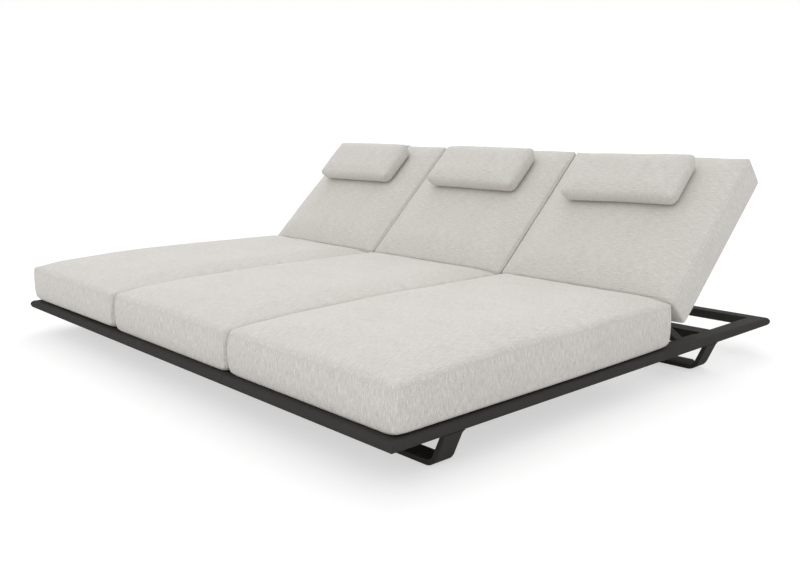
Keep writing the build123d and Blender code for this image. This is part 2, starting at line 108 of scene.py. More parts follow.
def noiseLayer(tree, surface, layer):
    if "stretch" in layer:
        mapping = tree.nodes.new("ShaderNodeMapping")
        tree.links.new(surface, mapping.inputs["Vector"])
        mapping.inputs["Scale"].default_value = layer["stretch"]
        surface = mapping.outputs["Vector"]
    node = tree.nodes.new("ShaderNodeTexNoise")
    tree.links.new(surface, node.inputs["Vector"])
    for name in ("Scale", "Detail", "Roughness"):
        node.inputs[name].default_value = layer[name.lower()]
    return node.outputs["Fac"]


def mapRange(tree, value, fromLow, fromHigh, toLow, toHigh):
    node = tree.nodes.new("ShaderNodeMapRange")
    tree.links.new(value, node.inputs["Value"])
    setInputs(node, {"From Min": fromLow, "From Max": fromHigh, "To Min": toLow, "To Max": toHigh})
    return node.outputs["Result"]


def mixColours(tree, factor, first, second):
    # The Mix node's colour sockets share their names with its others, so they go by number
    node = tree.nodes.new("ShaderNodeMix")
    node.data_type = "RGBA"
    tree.links.new(factor, node.inputs["Factor"])
    for index, value in ((6, first), (7, second)):
        if isinstance(value, tuple):
            node.inputs[index].default_value = value
        else:
            tree.links.new(value, node.inputs[index])
    return node.outputs[2]


# Camera and studio

cameraValues = {
    "place": (2.7277, -2.4256, 0.9302),
    "heading": 47.25,     # degrees to the left of straight towards the heads
    "downTilt": 10.84,
    "focalPixels": 873.98,
    "photoWidth": 800,
    "sensorWidth": 36.0,
    "clipEnd": 200.0,
}

studioValues = {
    "floorSize": 160.0,
    "floorTone": 0.84,
    "seenTone": 0.48,       # the paper's tone and glow for the camera, so the floor reads as white
    "seenGlow": 0.565,
    "skyTone": 0.84,
    "topSun": {"strength": 0.87, "spread": 45.0, "towards": (-0.52, 0.60, 0.75)},
    "frontSun": {"strength": 0.50, "spread": 60.0, "towards": (0.25, -0.73, 0.64)},
}


def makeCamera(values):
    data = bpy.data.cameras.new("photoCamera")
    data.sensor_width = values["sensorWidth"]
    data.lens = values["focalPixels"] / values["photoWidth"] * values["sensorWidth"]
    data.clip_end = values["clipEnd"]
    camera = newObject("photoCamera", data)
    camera.location = values["place"]
    camera.rotation_euler = (radians(90 - values["downTilt"]), 0, radians(values["heading"]))
    bpy.context.scene.camera = camera


def makeSun(name, values):
    data = bpy.data.lights.new(name, "SUN")
    data.energy = values["strength"]
    data.angle = radians(values["spread"])
    towards = Vector(values["towards"])
    newObject(name, data).rotation_euler = towards.to_track_quat("Z", "Y").to_euler()


def seenRays(tree):
    # The rays that see the white paper itself: the camera's, and those mirrored in gloss
    path = tree.nodes.new("ShaderNodeLightPath")
    return mathNode(tree, "MAXIMUM", path.outputs["Is Camera Ray"], path.outputs["Is Glossy Ray"])


def makeWorld(values):
    world = bpy.data.worlds.new("studioSky")
    world.use_nodes = True
    bpy.context.scene.world = world
    nodes = world.node_tree.nodes
    links = world.node_tree.links
    nodes.clear()
    output = nodes.new("ShaderNodeOutputWorld")
    lit = nodes.new("ShaderNodeBackground")
    setInputs(lit, {"Color": white, "Strength": values["skyTone"]})
    seen = nodes.new("ShaderNodeBackground")
    setInputs(seen, {"Color": white, "Strength": 1.0})
    mix = nodes.new("ShaderNodeMixShader")
    links.new(seenRays(world.node_tree), mix.inputs["Fac"])
    links.new(lit.outputs["Background"], mix.inputs[1])
    links.new(seen.outputs["Background"], mix.inputs[2])
    links.new(mix.outputs["Shader"], output.inputs["Surface"])


def makeFloor(values):
    half = values["floorSize"] / 2
    corners = [(-half, -half, 0), (half, -half, 0), (half, half, 0), (-half, half, 0)]
    floor = newMeshObject("studioFloor", corners, [(0, 1, 2, 3)])
    paper = bpy.data.materials.new("floorPaper")
    paper.use_nodes = True
    tree = paper.node_tree
    surface = tree.nodes["Principled BSDF"]
    setInputs(surface, {"Roughness": 1.0, "Specular IOR Level": 0.0, "Emission Color": white})
    seen = seenRays(tree)
    litColour = (values["floorTone"],) * 3 + (1,)
    seenColour = (values["seenTone"],) * 3 + (1,)
    colour = mixColours(tree, seen, litColour, seenColour)
    tree.links.new(colour, surface.inputs["Base Color"])
    glow = mathNode(tree, "MULTIPLY", seen, values["seenGlow"])
    tree.links.new(glow, surface.inputs["Emission Strength"])
    floor.data.materials.append(paper)


makeCamera(cameraValues)
makeWorld(studioValues)
makeFloor(studioValues)
for sunName in ("topSun", "frontSun"):
    makeSun(sunName, studioValues[sunName])
bpy.context.scene.view_settings.view_transform = "Standard"
print("camera and studio ready")


# Shader groups shared by the materials

weaveValues = {
    "yarns": [      # warp, weft, long slubs and grain, each with its share of the pattern
        {"stretch": (620, 60, 620), "scale": 1.0, "detail": 3.0, "roughness": 0.6, "share": 0.32},
        {"stretch": (110, 560, 110), "scale": 1.0, "detail": 3.0, "roughness": 0.6, "share": 0.14},
        {"stretch": (400, 26, 400), "scale": 1.0, "detail": 2.0, "roughness": 0.6, "share": 0.34},
        {"scale": 240.0, "detail": 3.0, "roughness": 0.7, "share": 0.20},
    ],
    "cloud": {"scale": 5.0, "detail": 2.0, "roughness": 0.5, "share": 0.16},
    "contrast": 3.8,
    "fainterBeyond": 6.0,       # metres along the panel maps
    "thread": {"Scale": 210.0, "Distortion": 1.2, "Detail": 1.0},   # about 1.5 mm apart
    "threadHeight": 0.55,
    "yarnHeight": 0.9,
    "roughness": (0.96, 0.86),      # from dark yarn to light yarn
}

powderValues = {
    "grain": {"scale": 700.0, "detail": 2.0, "roughness": 0.6},
    "fleck": {"scale": 2600.0, "detail": 1.0, "roughness": 0.5},
    "patch": {"scale": 6.0, "detail": 4.0, "roughness": 0.6, "share": 0.6},
    "rub": {"stretch": (3, 3, 40), "scale": 4.0, "detail": 3.0, "roughness": 0.6, "share": 0.4},
    "wornRange": (0.45, 0.7, 0.0, 0.55),
    "fleckRange": (0.62, 0.8, 0.0, 0.35),
    "roughRange": (0.3, 0.7, -0.07, 0.07),
}


def newGroup(name, inputs):
    # A group with its own inputs and the three outputs that every material here takes
    group = bpy.data.node_groups.new(name, "ShaderNodeTree")
    for socketName, kind, value in inputs:
        socket = group.interface.new_socket(name=socketName, in_out="INPUT", socket_type=kind)
        if value is not None:
            socket.default_value = value
    for socketName, kind in (("Colour", "Color"), ("Height", "Float"), ("Roughness", "Float")):
        kind = "NodeSocket" + kind
        group.interface.new_socket(name=socketName, in_out="OUTPUT", socket_type=kind)
    return group, group.nodes.new("NodeGroupInput"), group.nodes.new("NodeGroupOutput")


def makeWeaveGroup(values):
    # Plain weave with uneven yarn: slubs along both threads, mottling, and the weave's height
    group, given, result = newGroup(
        "outdoorWeave",
        [
            ("Surface", "NodeSocketVector", None),
            ("Light Yarn", "NodeSocketColor", (0.7, 0.68, 0.64, 1)),
            ("Dark Yarn", "NodeSocketColor", (0.5, 0.48, 0.44, 1)),
            ("Slub Strength", "NodeSocketFloat", 1.0),
            ("Top Share", "NodeSocketFloat", 0.66),
        ],
    )
    surface = given.outputs["Surface"]
    yarns = [(noiseLayer(group, surface, layer), layer["share"]) for layer in values["yarns"]]
    yarn = weightedSum(group, yarns)
    # The panel maps of the seats' tops, the backs and the headrests lie further out than those
    # of the seats' sides, and their slubs are fainter
    split = group.nodes.new("ShaderNodeSeparateXYZ")
    group.links.new(surface, split.inputs["Vector"])
    furthest = mathNode(group, "MAXIMUM", split.outputs["X"], split.outputs["Y"])
    onTop = mathNode(group, "GREATER_THAN", furthest, values["fainterBeyond"])
    fainter = mathNode(group, "SUBTRACT", 1.0, given.outputs["Top Share"])
    strength = mathNode(group, "SUBTRACT", 1.0, mathNode(group, "MULTIPLY", onTop, fainter))
    strength = mathNode(group, "MULTIPLY", strength, given.outputs["Slub Strength"])
    spread = mathNode(group, "MULTIPLY", mathNode(group, "SUBTRACT", yarn, 0.5), strength)
    spread = mathNode(group, "MULTIPLY", spread, values["contrast"])
    spread = mathNode(group, "ADD", spread, 0.5)
    cloud = noiseLayer(group, surface, values["cloud"])
    drift = mathNode(group, "SUBTRACT", cloud, 0.5)
    drift = mathNode(group, "MULTIPLY", drift, values["cloud"]["share"])
    share = mathNode(group, "ADD", spread, drift, clamped=True)
    colour = mixColours(group, share, given.outputs["Dark Yarn"], given.outputs["Light Yarn"])
    group.links.new(colour, result.inputs["Colour"])

    threads = []
    for direction in ("X", "Y"):
        wave = group.nodes.new("ShaderNodeTexWave")
        wave.wave_type = "BANDS"
        wave.bands_direction = direction
        setInputs(wave, values["thread"])
        group.links.new(surface, wave.inputs["Vector"])
        threads.append(wave.outputs["Fac"])
    woven = mathNode(group, "MAXIMUM", *threads)
    height = weightedSum(group, [(woven, values["threadHeight"]), (yarn, values["yarnHeight"])])
    group.links.new(height, result.inputs["Height"])
    rough = mapRange(group, share, 0, 1, *values["roughness"])
    group.links.new(rough, result.inputs["Roughness"])
    return group


def makeCoatGroup(values):
    # Powder coat: a fine orange-peel grain, faint dust, and patches that are a little more worn
    group, given, result = newGroup(
        "powderCoat",
        [
            ("Surface", "NodeSocketVector", None),
            ("Coat", "NodeSocketColor", (0.04, 0.038, 0.036, 1)),
            ("Worn", "NodeSocketColor", (0.07, 0.067, 0.063, 1)),
            ("Roughness", "NodeSocketFloat", 0.5),
        ],
    )
    surface = given.outputs["Surface"]
    grain, fleck, patch, rub = [
        noiseLayer(group, surface, values[layer]) for layer in ("grain", "fleck", "patch", "rub")
    ]
    worn = [(patch, values["patch"]["share"]), (rub, values["rub"]["share"])]
    worn = mapRange(group, weightedSum(group, worn), *values["wornRange"])
    dust = mapRange(group, fleck, *values["fleckRange"])
    worn = mathNode(group, "ADD", worn, dust, clamped=True)
    colour = mixColours(group, worn, given.outputs["Coat"], given.outputs["Worn"])
    group.links.new(colour, result.inputs["Colour"])
    group.links.new(grain, result.inputs["Height"])
    shift = mapRange(group, patch, *values["roughRange"])
    rough = mathNode(group, "ADD", given.outputs["Roughness"], shift, clamped=True)
    group.links.new(rough, result.inputs["Roughness"])
    return group


weaveGroup = makeWeaveGroup(weaveValues)
coatGroup = makeCoatGroup(powderValues)


# Materials

fabricColours = {
    "cushionFabric": {
        "Light Yarn": (0.80, 0.78, 0.742, 1),
        "Dark Yarn": (0.415, 0.397, 0.365, 1),
        "Slub Strength": 1.0,
    },
    "threadFabric": {
        "Light Yarn": (0.64, 0.62, 0.585, 1),
        "Dark Yarn": (0.54, 0.52, 0.49, 1),
        "Slub Strength": 0.3,
    },
}
fabricFinish = {"Specular IOR Level": 0.2, "Sheen Weight": 0.12, "Sheen Roughness": 0.5}
fabricBump = {"Strength": 0.45, "Distance": 0.0005}

coatValues = {
    "frameCoat": {
        "colours": {"Coat": (0.0425, 0.0407, 0.0380, 1), "Worn": (0.055, 0.053, 0.0495, 1)},
        "roughness": 0.8, "metallic": 0.0, "bump": 0.08, "shine": 0.06,
    },
    "brushedSteel": {
        "colours": {"Coat": (0.52, 0.51, 0.50, 1), "Worn": (0.66, 0.65, 0.64, 1)},
        "roughness": 0.34, "metallic": 1.0, "bump": 0.05, "shine": 0.5,
    },
    "blackPlastic": {
        "colours": {"Coat": (0.018, 0.018, 0.018, 1), "Worn": (0.035, 0.035, 0.035, 1)},
        "roughness": 0.6, "metallic": 0.0, "bump": 0.12, "shine": 0.4,
    },
}
coatGrainDepth = 0.0004


def materialStart(name, group):
    material = bpy.data.materials.new(name)
    material.use_nodes = True
    tree = material.node_tree
    surface = tree.nodes["Principled BSDF"]
    effect = tree.nodes.new("ShaderNodeGroup")
    effect.node_tree = group
    bump = tree.nodes.new("ShaderNodeBump")
    tree.links.new(effect.outputs["Colour"], surface.inputs["Base Color"])
    tree.links.new(effect.outputs["Roughness"], surface.inputs["Roughness"])
    tree.links.new(effect.outputs["Height"], bump.inputs["Height"])
    tree.links.new(bump.outputs["Normal"], surface.inputs["Normal"])
    return material, tree, surface, effect, bump


def makeFabric(name, colours):
    material, tree, surface, effect, bump = materialStart(name, weaveGroup)
    panelMap = tree.nodes.new("ShaderNodeUVMap")
    panelMap.uv_map = "panelMap"
    tree.links.new(panelMap.outputs["UV"], effect.inputs["Surface"])
    setInputs(effect, colours)
    setInputs(bump, fabricBump)
    setInputs(surface, fabricFinish)
    return material


def makeCoat(name, values):
    material, tree, surface, effect, bump = materialStart(name, coatGroup)
    places = tree.nodes.new("ShaderNodeTexCoord")
    tree.links.new(places.outputs["Object"], effect.inputs["Surface"])
    setInputs(effect, values["colours"])
    setInputs(effect, {"Roughness": values["roughness"]})
    setInputs(bump, {"Strength": values["bump"], "Distance": coatGrainDepth})
    setInputs(surface, {"Metallic": values["metallic"], "Specular IOR Level": values["shine"]})
    return material


fabrics = {name: makeFabric(name, colours) for name, colours in fabricColours.items()}
coats = {name: makeCoat(name, values) for name, values in coatValues.items()}
slotMaterials = {
    "frame_coating": coats["frameCoat"],
    "steel": coats["brushedSteel"],
    "black_plastic": coats["blackPlastic"],
    "cushion_fabric": fabrics["cushionFabric"],
}

for node in frameNodes.values():
    for slot in node.material_slots:
        slotName = slot.material.name.split(".")[0] if slot.material else "frame_coating"
        slot.material = slotMaterials.get(slotName, coats["frameCoat"])
print("materials ready")


def dressMesh(mesh, fabricName):
    # One fabric all over, shaded smooth
    mesh.materials.clear()
    mesh.materials.append(fabrics[fabricName])
    mesh.polygons.foreach_set("use_smooth", [True] * len(mesh.polygons))


# Padded shells: a box lattice that is rounded, crowned and bulged

mapSteps = {"axis": 3.1, "side": 1.7}       # metres between the panel maps of a pad's six sides

padForm = {
    "tipReach": 0.09,               # how far from its corners a pad has sharper edges
    "edgeBand": (2.2, 1.2),         # where the round edges begin and how soon, in their radii
    "mouthReach": 0.045,
    "nearReach": 0.05,              # how far the underside lifts
    "flankShares": (0.12, 0.10),    # of the width and the length
    "topFrom": 0.50,                # shares of the height
    "lowUpTo": 0.45,
    "flankPower": 1.5,
    "crownFall": 0.95,              # share of the crown that is gone at the ends
    "crownEdge": 0.004,
    "crownParts": (0.82, 0.18),     # a steep rise from the sides, and a gentle round
    "frontLean": (0.7, 0.4),
    "leftShare": 0.6,
    "bulgeRest": 0.4,               # part of the bulge that pulls back above and below
    "grooveInset": 0.05,
}

fillingValues = {       # each wave's scale and depth
    "topWaves": ((4.2, 0.0032), (13.0, 0.0012)),
    "sideWave": (9.0, 0.0020),
    "edgeWave": (26, 0.0012),
    "edgeReach": (0.06, 0.05),
    "edgeGain": 1.5,
}


def axisPlaces(length, radius, roundSteps, spacing):
    count = max(2, round((length - 2 * radius) / spacing))
    rise = [radius * step / roundSteps for step in range(roundSteps)]
    middle = [radius + (length - 2 * radius) * step / count for step in range(count + 1)]
    return rise + middle + [length - place for place in reversed(rise)]


def roundedPlace(place, size, radii):
    inner = [clamp(place[axis], radii[axis], size[axis] - radii[axis]) for axis in range(3)]
    offset = Vector([(place[axis] - inner[axis]) / radii[axis] for axis in range(3)])
    if offset.length > 0:
        offset.normalize()
    return Vector([inner[axis] + offset[axis] * radii[axis] for axis in range(3)])


def latticeShell(values):
    # Returns lattice places by their three indices, the faces, and each face corner's panel map
    axes = [
        axisPlaces(size, values["topRadius"], values["roundSteps"], spacing)
        for size, spacing in zip(values["size"], values["spacing"])
    ]
    last = [len(places) - 1 for places in axes]
    keys = {}
    places = []
    faces = []
    maps = []

    def vertex(key):
        if key not in keys:
            keys[key] = len(places)
            places.append(Vector([axes[axis][key[axis]] for axis in range(3)]))
        return keys[key]

    def addFace(axis, side, across, along, first, second):
        shift = values["mapShift"] + mapSteps["axis"] * axis + (mapSteps["side"] if side else 0.0)
        corners = []
        panel = []
        for stepA, stepB in ((0, 0), (1, 0), (1, 1), (0, 1)):
            key = [0, 0, 0]
            key[axis] = side
            key[across] = first + stepA
            key[along] = second + stepB
            corners.append(vertex(tuple(key)))
            pair = (axes[across][key[across]] + shift, axes[along][key[along]])
            panel.append(pair[::-1] if axis == 2 and values["slubAcross"] else pair)
        outward = (side > 0) == (axis != 1)
        if not outward:
            corners.reverse()
            panel.reverse()
        faces.append(corners)
        maps.extend(panel)

    for axis, (across, along) in enumerate(((1, 2), (0, 2), (0, 1))):
        for side in (0, last[axis]):
            for first in range(last[across]):
                for second in range(last[along]):
                    addFace(axis, side, across, along, first, second)
    return keys, places, faces, maps, last


def cornerRadii(place, values):
    # Round edges above and below, a corner of its own for the upright edges, and sharper tips
    width, length, height = values["size"]
    z = place.z
    reach = padForm["tipReach"]
    nearSide = fade(min(place.x, width - place.x), reach)
    nearEnd = fade(min(place.y, length - place.y), reach)
    sharpness = values["tipSharpness"][0 if place.y < length / 2 else 1]
    tip = 1 - sharpness * (nearSide * nearEnd)
    top, low, upright = values["topRadius"] * tip, values["lowRadius"], values["uprightRadius"]
    begin, band = padForm["edgeBand"]
    nearTop = clamp((z - height + begin * top) / (band * top))
    nearLow = clamp((begin * low - z) / (band * low))
    flat = upright + (top - upright) * nearTop + (low - upright) * nearLow
    return (flat, flat, top if z > height / 2 else low)


def mouthAt(fromEnds, side, values):
    # The gap between two modules opens near the ends of their cushions
    inner = values["sideRoom"][side] == 0
    return values["mouth"][side] * fade(fromEnds, padForm["mouthReach"], 2) if inner else 0.0


def shapedPlaces(keys, places, last, values):
    # The resting shape before it is swelled
    size = values["size"]
    width, length, height = size
    seed = values["seed"]
    form = padForm
    shaped = [None] * len(places)
    for key, index in keys.items():
        raw = places[index]
        x, y, z = roundedPlace(raw, size, cornerRadii(raw, values))
        fromEnds = max(0.0, min(y, length - y))
        fromSides = max(0.0, min(x, width - x))
        side = 1 if x > width / 2 else 0
        end = 1 if y > length / 2 else 0
        sign = (-1, 1)[side]
        signY = (-1, 1)[end]
        away = (2 * y / length - 1) ** 2
        sideShare = sin(pi * clamp(z / height))
        topStart = height * form["topFrom"]
        topShare = max(0.0, (z - topStart) / (height - topStart)) ** form["flankPower"]
        lowShare = fade(z, height * form["lowUpTo"], form["flankPower"])
        outwardX = fade(fromSides, width * form["flankShares"][0], form["flankPower"])
        outwardY = fade(fromEnds, length * form["flankShares"][1], form["flankPower"])
        nearX = fade(fromSides, form["nearReach"], 2)
        nearY = fade(fromEnds, form["nearReach"], 2)

        # The crown stands on the edges and falls off towards the ends
        rise = values["crown"] * (1 - fade(fromEnds, values["slopeLength"], 2) * form["crownFall"])
        slope = clamp((fromSides - form["crownEdge"]) / values["slopeWidth"])
        steep, gentle = form["crownParts"]
        across = steep * (1 - (1 - slope) ** 2) + gentle * sin(pi * clamp(x / width))
        z = z * (1 - values["endSag"][end] * away / height) + topShare * rise * across

        # The underside lifts towards its edges, and some pads rise at the front and to the left
        z += lowShare * (values["endLift"] * nearY + values["sideLift"] * nearX)
        if side == 1 or values["sideRoom"][side] > 0:
            z += lowShare * values["cornerLift"] * nearX * nearY
        if end == 0:
            lean = form["frontLean"][0] + form["frontLean"][1] * x / width
            z += lowShare * values["frontLift"] * nearY * lean
        z += topShare * values["leftRise"] * fade(x, width * form["leftShare"])

        # The sides draw in towards the ends, and open a little at the corners
        inward = values["drawIn"][end] * away + mouthAt(fromEnds, side, values)
        straight = 1 - values["tipSharpness"][end] * nearX * nearY
        bulge = sideShare - form["bulgeRest"]
        x += sign * outwardX * (values["sideBulge"] * bulge * straight - inward)
        y += signY * outwardY * values["endBulge"] * bulge * straight
        y += values["skew"] * (0.5 - x / width) * (y / length) ** 2
        result = Vector((x, y, z))

        # Seams lie in a shallow groove
        atSeam = [axis for axis in range(3) if key[axis] in (0, last[axis])]
        groove = values["edgeGroove"] if 2 in atSeam else values["uprightGroove"]
        if len(atSeam) >= 2 and groove > 0:
            inset = form["grooveInset"]
            inside = (clamp(x, inset, width - inset), clamp(y, inset, length - inset), height / 2)
            result += (Vector(inside) - result).normalized() * groove

        # Uneven filling
        filling = fillingValues
        waves = [noise.noise(result * scale + seed) * depth for scale, depth in filling["topWaves"]]
        result.z += sum(waves) * topShare
        scale, depth = filling["sideWave"]
        sideWave = noise.noise(result * scale - seed) * depth
        result.x += sign * outwardX * sideWave * sideShare
        result.y += signY * outwardY * sideWave * sideShare
        reach, drop = filling["edgeReach"]
        edgeNear = fade(min(fromEnds, fromSides), reach) * fade(height - raw[2], drop)
        scale, depth = filling["edgeWave"]
        along = noise.noise(Vector((x * scale, y * scale, seed.x)))
        result.z += along * depth * edgeNear * min(1.0, topShare * filling["edgeGain"])
        shaped[index] = result
    return shaped


def keptBeside(places, values):
    # Keeps the sides of a cushion off the cushions of the next modules
    width, length = values["size"][:2]
    kept = []
    for place in places:
        fromEnds = max(0.0, min(place.y, length - place.y))
        low = mouthAt(fromEnds, 0, values) - values["sideRoom"][0]
        high = width + values["sideRoom"][1] - mouthAt(fromEnds, 1, values)
        kept.append(Vector((clamp(place.x, low, high), place.y, place.z)))
    return kept


# Cloth with air pressure, held at the seams and below

swellValues = {
    "frames": 20,
    "capSoftness": 1.6,     # how soon a move comes near its cap
    "seamSteps": 9,         # lattice steps over which the hold of a seam fades
    "seamPower": 1.3,
}


def swelled(name, places, faces, held, values):
    thing = newMeshObject(name + "Swell", places, faces)
    group = thing.vertex_groups.new(name="held")
    for index, share in enumerate(held):
        group.add([index], share, "REPLACE")
    cloth = thing.modifiers.new("swell", "CLOTH")
    settings = cloth.settings
    settings.quality = 4
    settings.mass = 0.35
    settings.tension_stiffness = 20
    settings.compression_stiffness = 20
    settings.shear_stiffness = 10
    settings.bending_stiffness = 2.0
    settings.use_pressure = True
    settings.uniform_pressure_force = values["pressure"]
    settings.effector_weights.gravity = 0
    settings.vertex_group_mass = "held"
    settings.pin_stiffness = 1.0
    cloth.collision_settings.use_collision = False
    cloth.point_cache.frame_start = 1
    cloth.point_cache.frame_end = swellValues["frames"]
    for step in range(1, swellValues["frames"] + 1):
        bpy.context.scene.frame_set(step)
    blown = evaluatedObject(thing).data
    moves = [blown.vertices[index].co - places[index] for index in range(len(places))]
    furthest = max(move.length for move in moves)
    cap = values["cap"]
    result = []
    for place, move in zip(places, moves):
        if move.length > 1e-9:
            softened = 1 - 1 / (1 + move.length / cap * swellValues["capSoftness"])
            move = move.normalized() * (cap * softened)
        result.append(place + move)
    bpy.context.scene.frame_set(1)
    mesh = thing.data
    bpy.data.objects.remove(thing)
    bpy.data.meshes.remove(mesh)
    print(name, "swelled, furthest", round(furthest * 1000, 1), "mm")
    return result


def seamHold(keys, last, values):
    # How firmly each point is held: fully below, firmly at the seams, freely on the panels
    hold = [1.0] * len(keys)
    for key, index in keys.items():
        if key[2] > 0:
            steps = sorted(min(step, end - step) for step, end in zip(key, last))[1]
            share = fade(steps, swellValues["seamSteps"], swellValues["seamPower"])
            hold[index] = share * values["seamHold"]
    return hold


def finishedPad(name, places, faces, maps, turn):
    # A smooth mesh in its place, with the panel map and one subdivision applied
    thing = newMeshObject(name + "Draft", places, faces)
    layer = thing.data.uv_layers.new(name="panelMap")
    layer.data.foreach_set("uv", [number for pair in maps for number in pair])
    smooth = thing.modifiers.new("smooth", "SUBSURF")
    smooth.levels = 1
    smooth.render_levels = 1
    smooth.uv_smooth = "NONE"
    mesh = bpy.data.meshes.new_from_object(evaluatedObject(thing))
    mesh.name = name
    draft = thing.data
    bpy.data.objects.remove(thing)
    bpy.data.meshes.remove(draft)
    mesh.transform(turn)
    dressMesh(mesh, "cushionFabric")
    return newObject(name, mesh)


# Stitches along a path

stitchValues = {
    "pitch": 0.0062,
    "length": 0.0042,
    "thickness": 0.0011,
    "lift": 0.0002,
    "sideSegments": 6,
    "sideRings": 4,
}


def makeStitchTree(values):
    tree = bpy.data.node_groups.new("stitchRow", "GeometryNodeTree")
    sockets = tree.interface
    sockets.new_socket(name="Path", in_out="INPUT", socket_type="NodeSocketGeometry")
    for name in ("Pitch", "Length", "Thickness"):
        socket = sockets.new_socket(name=name, in_out="INPUT", socket_type="NodeSocketFloat")
        socket.default_value = values[name.lower()]
    thread = sockets.new_socket(name="Thread", in_out="INPUT", socket_type="NodeSocketMaterial")
    thread.default_value = fabrics["threadFabric"]
    sockets.new_socket(name="Stitches", in_out="OUTPUT", socket_type="NodeSocketGeometry")
    nodes = tree.nodes
    links = tree.links
    given = nodes.new("NodeGroupInput")
    result = nodes.new("NodeGroupOutput")
    resample = nodes.new("GeometryNodeResampleCurve")
    resample.mode = "LENGTH"
    links.new(given.outputs["Path"], resample.inputs["Curve"])
    links.new(given.outputs["Pitch"], resample.inputs["Length"])
    tangent = nodes.new("GeometryNodeInputTangent")
    align = nodes.new("FunctionNodeAlignRotationToVector")
    align.axis = "Z"
    links.new(tangent.outputs["Tangent"], align.inputs["Vector"])
    # A ball of diameter 1, scaled to the size of a stitch
    stitch = nodes.new("GeometryNodeMeshUVSphere")
    sides = {"Segments": values["sideSegments"], "Rings": values["sideRings"], "Radius": 0.5}
    setInputs(stitch, sides)
    size = nodes.new("ShaderNodeCombineXYZ")
    for axis, name in zip("XYZ", ("Thickness", "Thickness", "Length")):
        links.new(given.outputs[name], size.inputs[axis])
    scatter = nodes.new("GeometryNodeInstanceOnPoints")
    links.new(resample.outputs["Curve"], scatter.inputs["Points"])
    links.new(stitch.outputs["Mesh"], scatter.inputs["Instance"])
    links.new(align.outputs["Rotation"], scatter.inputs["Rotation"])
    links.new(size.outputs["Vector"], scatter.inputs["Scale"])
    realize = nodes.new("GeometryNodeRealizeInstances")
    links.new(scatter.outputs["Instances"], realize.inputs["Geometry"])
    finish = nodes.new("GeometryNodeSetMaterial")
    links.new(realize.outputs["Geometry"], finish.inputs["Geometry"])
    links.new(given.outputs["Thread"], finish.inputs["Material"])
    links.new(finish.outputs["Geometry"], result.inputs["Stitches"])
    return tree


stitchTree = makeStitchTree(stitchValues)


def socketKey(tree, name):
    for item in tree.interface.items_tree:
        if item.item_type == "SOCKET" and item.in_out == "INPUT" and item.name == name:
            return item.identifier


def makeStitches(name, places, turn, body):
    # A closed row of stitches through the places
    data = bpy.data.curves.new(name + "Path", "CURVE")
    data.dimensions = "3D"
    spline = data.splines.new("POLY")
    spline.points.add(len(places) - 1)
    for point, place in zip(spline.points, places):
        point.co = (*(turn @ place), 1)
    spline.use_cyclic_u = True
    path = newObject(name + "Path", data)
    row = path.modifiers.new("stitchRow", "NODES")
    row.node_group = stitchTree
    for label in ("Pitch", "Length", "Thickness"):
        row[socketKey(stitchTree, label)] = stitchValues[label.lower()]
    mesh = bpy.data.meshes.new_from_object(evaluatedObject(path))
    mesh.name = name
    bpy.data.objects.remove(path)
    bpy.data.curves.remove(data)
    dressMesh(mesh, "threadFabric")
    if "panelMap" not in mesh.uv_layers:
        mesh.uv_layers.new(name="panelMap")
    piece = newObject(name, mesh)
    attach(piece, body)


def ringPath(keys, places, last, level):
    # The points once round the sides of a pad at one lattice level, moved out a little
    right, back = last[0], last[1]
    ring = [(step, 0, level) for step in range(right)]
    ring += [(right, step, level) for step in range(back)]
    ring += [(step, back, level) for step in range(right, 0, -1)]
    ring += [(0, step, level) for step in range(back, 0, -1)]
    path = []
    for key in ring:
        outward = Vector(((key[0] == right) - (key[0] == 0), (key[1] == back) - (key[1] == 0), 0))
        path.append(places[keys[key]] + outward.normalized() * stitchValues["lift"])
    return path


# The cushions of each module. A crown stands on the edges and slopes down to them over slopeLength
# and slopeWidth. endSag, drawIn and tipSharpness are for the front and rear end, mouth for the left
# and right side, and stitchLevel counts lattice steps down from the top.

cushionGaps = {"seat": 0.0015, "back": 0.0028}      # from a side to the line between two modules
outerFlanks = {"seat": 1.191, "back": 1.193}
outerRoom = 0.005       # how far a cushion may reach past its outer side

seatValues = {
    "height": 0.168, "floor": 0.140, "yRange": (-1.0180, 0.3000),
    "crown": 0.027, "slopeLength": 0.110, "slopeWidth": 0.105,
    "endSag": (0.024, 0.004), "drawIn": (0.0, 0.011), "sideBulge": 0.005, "endBulge": 0.006,
    "topRadius": 0.020, "lowRadius": 0.012, "uprightRadius": 0.006,
    "tipSharpness": (0.2, 0.6), "mouth": (0.005, 0.013),
    "edgeGroove": 0.0008, "uprightGroove": 0.0022,
    "endLift": 0.001, "sideLift": 0.008, "cornerLift": 0.006,
    "frontLift": 0.0, "leftRise": 0.0, "skew": 0.0,
    "roundSteps": 5, "spacing": (0.0140, 0.0145, 0.0150), "slubAcross": False, "mapShift": 0.0,
    "pressure": 4.0, "cap": 0.005, "seamHold": 0.85, "fill": 0.75, "stitchLevel": 4,
}

# The left seat cushion lies a little higher and further out at its front corner
leftSeatValues = {
    "yRange": (-1.0220, 0.2975), "frontLift": 0.009, "leftRise": 0.006,
    "tipSharpness": (0.6, 0.6), "sideBulge": 0.008,
}

